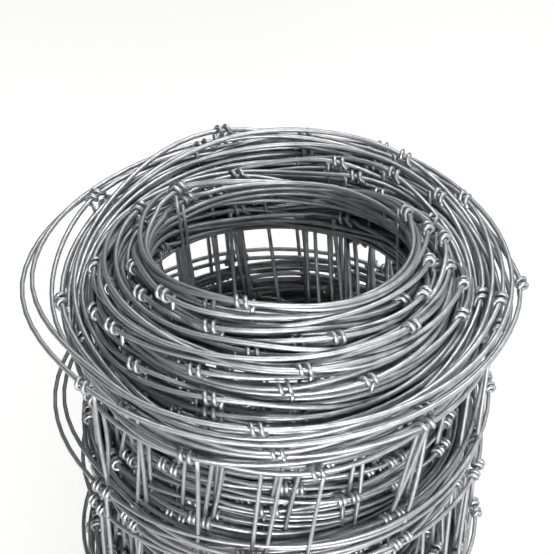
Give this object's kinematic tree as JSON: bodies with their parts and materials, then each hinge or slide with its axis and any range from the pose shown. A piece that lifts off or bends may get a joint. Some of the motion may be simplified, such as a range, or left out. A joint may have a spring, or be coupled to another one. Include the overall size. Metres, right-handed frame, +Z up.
{
  "type": "roll of wire fencing",
  "caption": "Roll of galvanised hinge-joint wire fencing standing on its end, wound round an open bore, with edge wires showing as rings on both ends and the outermost lap sprung loose near the upper end.",
  "frame": {"origin": "middle of the lower end, on the ground that the roll stands on", "axes": "+Z up along the roll's bore, from the wide-meshed end that it stands on to the close-meshed end; the picture looks along +Y"},
  "size_m": [0.2774, 0.2348, 0.8025],
  "materials": {
    "galvanised_wire": "hot-dip galvanised drawn steel wire, satin grey"
  },
  "bodies": {
    "root": {"fence_roll": "galvanised_wire"}
  },
  "joints": []
}
